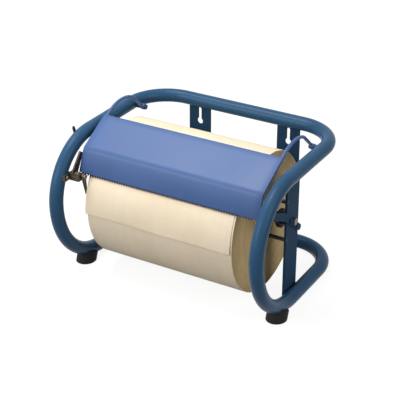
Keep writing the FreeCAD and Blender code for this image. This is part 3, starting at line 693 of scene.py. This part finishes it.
def makeArm(name, side, node):
    v = armValues
    rear, fold = coverPoints()[:2]
    panel = math.radians(coverValues["panelSlope"])
    lip = math.radians(coverValues["lipSlope"])
    depth = coverValues["sheet"] + v["radius"] + v["weldGap"]
    corner = along(fold, (panel + lip) / 2 - quarterTurn, depth / math.cos((lip - panel) / 2))
    onPanel, onLip, centre = foldTangents(coverValues["foldRadius"] - depth, corner)
    start = along(corner, lip + math.pi, v["lipReach"])
    lead = along(rear, panel - quarterTurn, depth)
    # the bow over the tube, and then the drop to the pivot
    fall = quarterTurn - math.radians(v["bowFall"])
    inner = v["bowRadius"] - v["dropRadius"]
    run = math.sin(panel) * v["bowRadius"] + math.cos(fall) * inner
    before = (v["pivotY"] - v["dropSetback"] - run - lead[0]) / math.cos(panel)
    leave = along(lead, panel, before)
    bow = along(leave, panel - quarterTurn, v["bowRadius"])
    drop = along(bow, fall, inner)
    toPivot = (v["pivotY"] - drop[0], v["pivotZ"] - drop[1])
    heading = math.atan2(toPivot[1], toPivot[0])
    touchAngle = heading + math.acos(v["dropRadius"] / math.hypot(*toPivot))
    touch = along(drop, touchAngle, v["dropRadius"])
    last = ((v["pivotY"] - touch[0]) * v["intoEye"], (v["pivotZ"] - touch[1]) * v["intoEye"])
    x = side * (coverValues["width"] / 2 - v["radius"])

    def bend(turn, middle, **fineness):
        return {"turn": turn, "centre": (x, *middle), "axis": (1, 0, 0), **fineness}

    facing = (0, math.cos(lip), math.sin(lip))
    arm = sweptRod(name, (x, *start), facing, v["radius"], v["sides"], [
        {"by": (0, onLip[0] - start[0], onLip[1] - start[1])},
        bend(panel - lip, centre, every=v["bendStep"]),
        {"by": (0, leave[0] - onPanel[0], leave[1] - onPanel[1])},
        bend(fall - panel - quarterTurn, bow),
        bend(touchAngle - fall, drop, every=v["bendStep"]),
        {"by": (0, *last)},
    ])
    roundEdges(arm, v["endRound"], angle=v["endAngle"])
    eye = lyingCylinder(name + "Eye", v["eyeSides"], v["eyeRadius"], 2 * v["eyeHalf"],
                        (x, v["pivotY"], v["pivotZ"]))
    boreThrough(eye, v["eyeRadius"] - v["boreRadius"])
    roundEdges(eye, v["eyeRound"])
    workOn(arm)
    eye.select_set(True)
    bpy.ops.object.join()
    dress(arm, "cover", [node], [coverPaint])


makeCover()
makeBlade()
makeArm("leftArmRod", -1, "left_cover_arm")
makeArm("rightArmRod", 1, "right_cover_arm")
print("cover folded")


# the paper: wound roll, board tube and loose tail
def rollCentre():
    return (rollValues["left"] + rollValues["length"] / 2, rollValues["axisY"], rollValues["axisZ"])


def proudBy(layer):
    # how far a turn stands out of the roll's end, or lies sunk in it where this is below 0
    v = rollValues
    drift = math.sin(layer * v["driftTurn"] + v["driftStart"])
    return v["relief"] * math.sin(layer * v["reliefTurn"]) * drift


def makeRoll():
    v = rollValues
    roll = lyingCylinder("woundPaper", v["sides"], v["radius"], v["length"], rollCentre())
    roll.data.materials.append(paperFace)
    roll.data.materials.append(paperEnd)
    editMode()
    pickEnds(roll)
    bpy.ops.mesh.inset(thickness=v["rim"], depth=0.0, use_individual=True)
    roll.active_material_index = 1
    bpy.ops.object.material_slot_assign()
    step = (v["radius"] - v["rim"] - coreValues["radius"]) / v["layers"]
    height = 0.0
    for layer in range(v["layers"]):
        rise = proudBy(layer) - height
        bpy.ops.mesh.inset(thickness=step, depth=rise, use_individual=True)
        height = proudBy(layer)
    bpy.ops.mesh.bridge_edge_loops()
    objectMode()
    dress(roll, "roll", ["paper_roll"], [], v["smooth"])  # it has its two finishes already


def makeCore():
    v = coreValues
    outer = v["radius"] - v["gap"]
    core = lyingCylinder("boardTube", v["sides"], outer, rollValues["length"], rollCentre())
    boreThrough(core, outer - v["bore"])
    roundEdges(core, v["edgeRound"])
    dress(core, "roll", ["cardboard_core"], [board])


tailValues = {
    "gap": 0.0003, "sheet": 0.0008, "shownShare": 0.6, "overhang": 0.003,
    "topAngle": 58.0, "edgeAngle": -2.0, "teethPitch": 0.005, "teethDepth": 0.0022,
    "curl": 0.0022, "curlFrom": 18.0, "rows": 40, "smooth": 50,
    "swayLevel": 0.55, "slowSway": 0.25, "slowPace": 21.0, "slowStart": 0.6,
    "fastSway": 0.2, "fastPace": 47.0, "fastStart": 2.0,
}


def makeTail():
    v = tailValues
    radius = rollValues["radius"] + v["gap"] + v["sheet"] / 2
    roll = (rollValues["axisY"], rollValues["axisZ"])
    left = rollValues["left"] - v["overhang"]
    across = 2 * int(rollValues["length"] / v["teethPitch"])
    top = math.radians(v["topAngle"])
    bottom = math.radians(v["edgeAngle"])
    curlFrom = math.radians(v["curlFrom"])
    lastRow = 1 - 0.5 / v["rows"]

    def wrapped(place):
        # a flat unit sheet goes round the roll, with torn teeth along its lower edge
        share = 0.5 - place.y  # 0 at the top, 1 at the torn edge
        column = place.x + 0.5
        angle = top + (bottom - top) * share
        x = left + column * rollValues["length"]
        if share > lastRow and round(column * across) % 2:
            angle += v["teethDepth"] / radius
        late = max(0.0, curlFrom - angle) / (curlFrom - bottom)
        sway = v["swayLevel"] + v["slowSway"] * math.sin(x * v["slowPace"] + v["slowStart"])
        sway += v["fastSway"] * math.sin(x * v["fastPace"] + v["fastStart"])
        y, z = along(roll, math.pi - angle, radius + v["curl"] * late ** 2 * sway)
        return Vector((x, y, z))

    clearSelection()
    bpy.ops.mesh.primitive_grid_add(x_subdivisions=across, y_subdivisions=v["rows"], size=1)
    tail = takeShape("paperTail")
    moveVerts(tail, wrapped)
    faceOutwards()
    useModifier(tail, "SOLIDIFY", thickness=v["sheet"] * v["shownShare"], offset=0.0)
    dress(tail, "roll", ["paper_tail"], [paperFace], v["smooth"])


makeRoll()
makeCore()
makeTail()
print("paper wound")


# small rigid parts: copies of the CAD shapes with their edges broken, by this width or not at all
brokenEdges = {
    "left_side_bar": 0.0006, "right_side_bar": 0.0006,
    "left_wall_strap": 0.0005, "right_wall_strap": 0.0005,
    "left_axle_guide": 0.0006, "right_axle_guide": 0.0006, "guide_bolts": 0.0003,
    "left_side_stops": 0.0003, "right_side_stops": 0.0003,
    "left_foot": 0.0012, "right_foot": 0.0012, "foot_screws": 0.0003,
    "cover_pivot_bolts": 0.0005, "brake_bracket": 0.0004, "bracket_bolt": 0.0005,
    "brake_pin": 0.0004, "brake_lever": 0.0005, "brake_arm": 0.0005, "brake_finger": 0.0005,
    "axle_shaft": 0.0006, "axle_caps": 0.0004, "left_axle_disc": 0.0004,
    "right_axle_disc": 0.0004, "brake_spring": 0.0,
}
flatWithin = 1.0  # degrees between faces that are made one face


def breakEdges(node, width):
    words = node.split("_")
    name = words[0] + "".join(word.capitalize() for word in words[1:]) + "Finished"
    piece = bpy.data.objects.new(name, frame["nodes"][node].data.copy())
    bpy.context.scene.collection.objects.link(piece)
    piece.data.materials.clear()
    workOn(piece)
    editMode()
    bpy.ops.mesh.select_all(action="SELECT")
    bpy.ops.mesh.remove_doubles(threshold=closePlace)
    bpy.ops.mesh.dissolve_limited(angle_limit=math.radians(flatWithin))
    objectMode()
    if width:
        roundEdges(piece, width, clamp=True)
    dress(piece, bodyOfNode[node], [node], [finishOfSlot[slotOfNode[node]]])
    useModifier(piece, "WEIGHTED_NORMAL", keep_sharp=True)


for node, width in brokenEdges.items():
    breakEdges(node, width)
print("small parts finished")


# floor, light and camera
roomValues = {
    "floorSize": 30.0, "floorColour": shade(110, 110, 110), "floorRough": 0.9, "floorShine": 0.1,
    "glow": shade(243, 243, 243), "unlit": (0.0, 0.0, 0.0, 1.0), "world": 0.26,
}
lampValues = {
    "aim": (0, 0, 0.12),
    "topLamp": {"place": (-0.60, -0.15, 2.0), "size": 0.9, "power": 32.0},
    "frontLamp": {"place": (-1.3, -2.4, 1.5), "size": 1.4, "power": 48.0},
    "rightLamp": {"place": (2.3, -0.5, 1.3), "size": 1.6, "power": 22.0},
}
cameraValues = {
    "place": (0.9479, -1.6226, 1.1255), "target": (-0.0065, 0.0108, 0.1325),
    "lens": 108.0, "sensor": 36.0,
}


def seenDirectly(tree):
    # 1 for rays that show the background itself: straight, mirrored or through glass
    rays = addNode(tree, "ShaderNodeLightPath", {}, {})
    straight, mirrored, throughGlass = (
        Wire(tree, rays.outputs[label])
        for label in ("Is Camera Ray", "Is Glossy Ray", "Is Transmission Ray"))
    return straight.larger(mirrored).larger(throughGlass)


def makeFloor():
    v = roomValues
    clearSelection()
    bpy.ops.mesh.primitive_plane_add(size=v["floorSize"], location=(0, 0, 0))
    floor = takeShape("floor")
    finish = Finish("paleFloor", {
        "Base Color": v["floorColour"], "Roughness": v["floorRough"],
        "Specular IOR Level": v["floorShine"], "Emission Strength": 1.0})
    glow = finish.blend(seenDirectly(finish.tree), v["unlit"], v["glow"])
    feed(finish.surface.inputs["Emission Color"], glow)
    floor.data.materials.append(finish.material)


def makeWorld():
    world = bpy.data.worlds.new("studio")
    bpy.context.scene.world = world
    world.use_nodes = True
    tree = world.node_tree
    sky = tree.nodes["Background"]
    sky.inputs["Color"].default_value = (1, 1, 1, 1)
    strength = addNode(tree, "ShaderNodeMapRange", {}, {
        "Value": seenDirectly(tree), "To Min": roomValues["world"], "To Max": 1.0})
    feed(sky.inputs["Strength"], Wire(tree, strength.outputs[0]))


def pointAt(holder, place, target):
    holder.location = place
    aim = Vector(target) - Vector(place)
    holder.rotation_euler = aim.to_track_quat("-Z", "Y").to_euler()


def makeLamp(name):
    v = lampValues[name]
    lamp = bpy.data.lights.new(name, "AREA")
    lamp.energy = v["power"]
    lamp.size = v["size"]
    holder = bpy.data.objects.new(name, lamp)
    bpy.context.scene.collection.objects.link(holder)
    pointAt(holder, v["place"], lampValues["aim"])


def makeCamera():
    v = cameraValues
    camera = bpy.data.cameras.new("camera")
    camera.lens = v["lens"]
    camera.sensor_width = v["sensor"]
    holder = bpy.data.objects.new("camera", camera)
    bpy.context.scene.collection.objects.link(holder)
    pointAt(holder, v["place"], v["target"])
    bpy.context.scene.camera = holder


makeFloor()
makeWorld()
makeLamp("topLamp")
makeLamp("frontLamp")
makeLamp("rightLamp")
makeCamera()
bpy.context.scene.view_settings.view_transform = "Standard"
print("room lit")
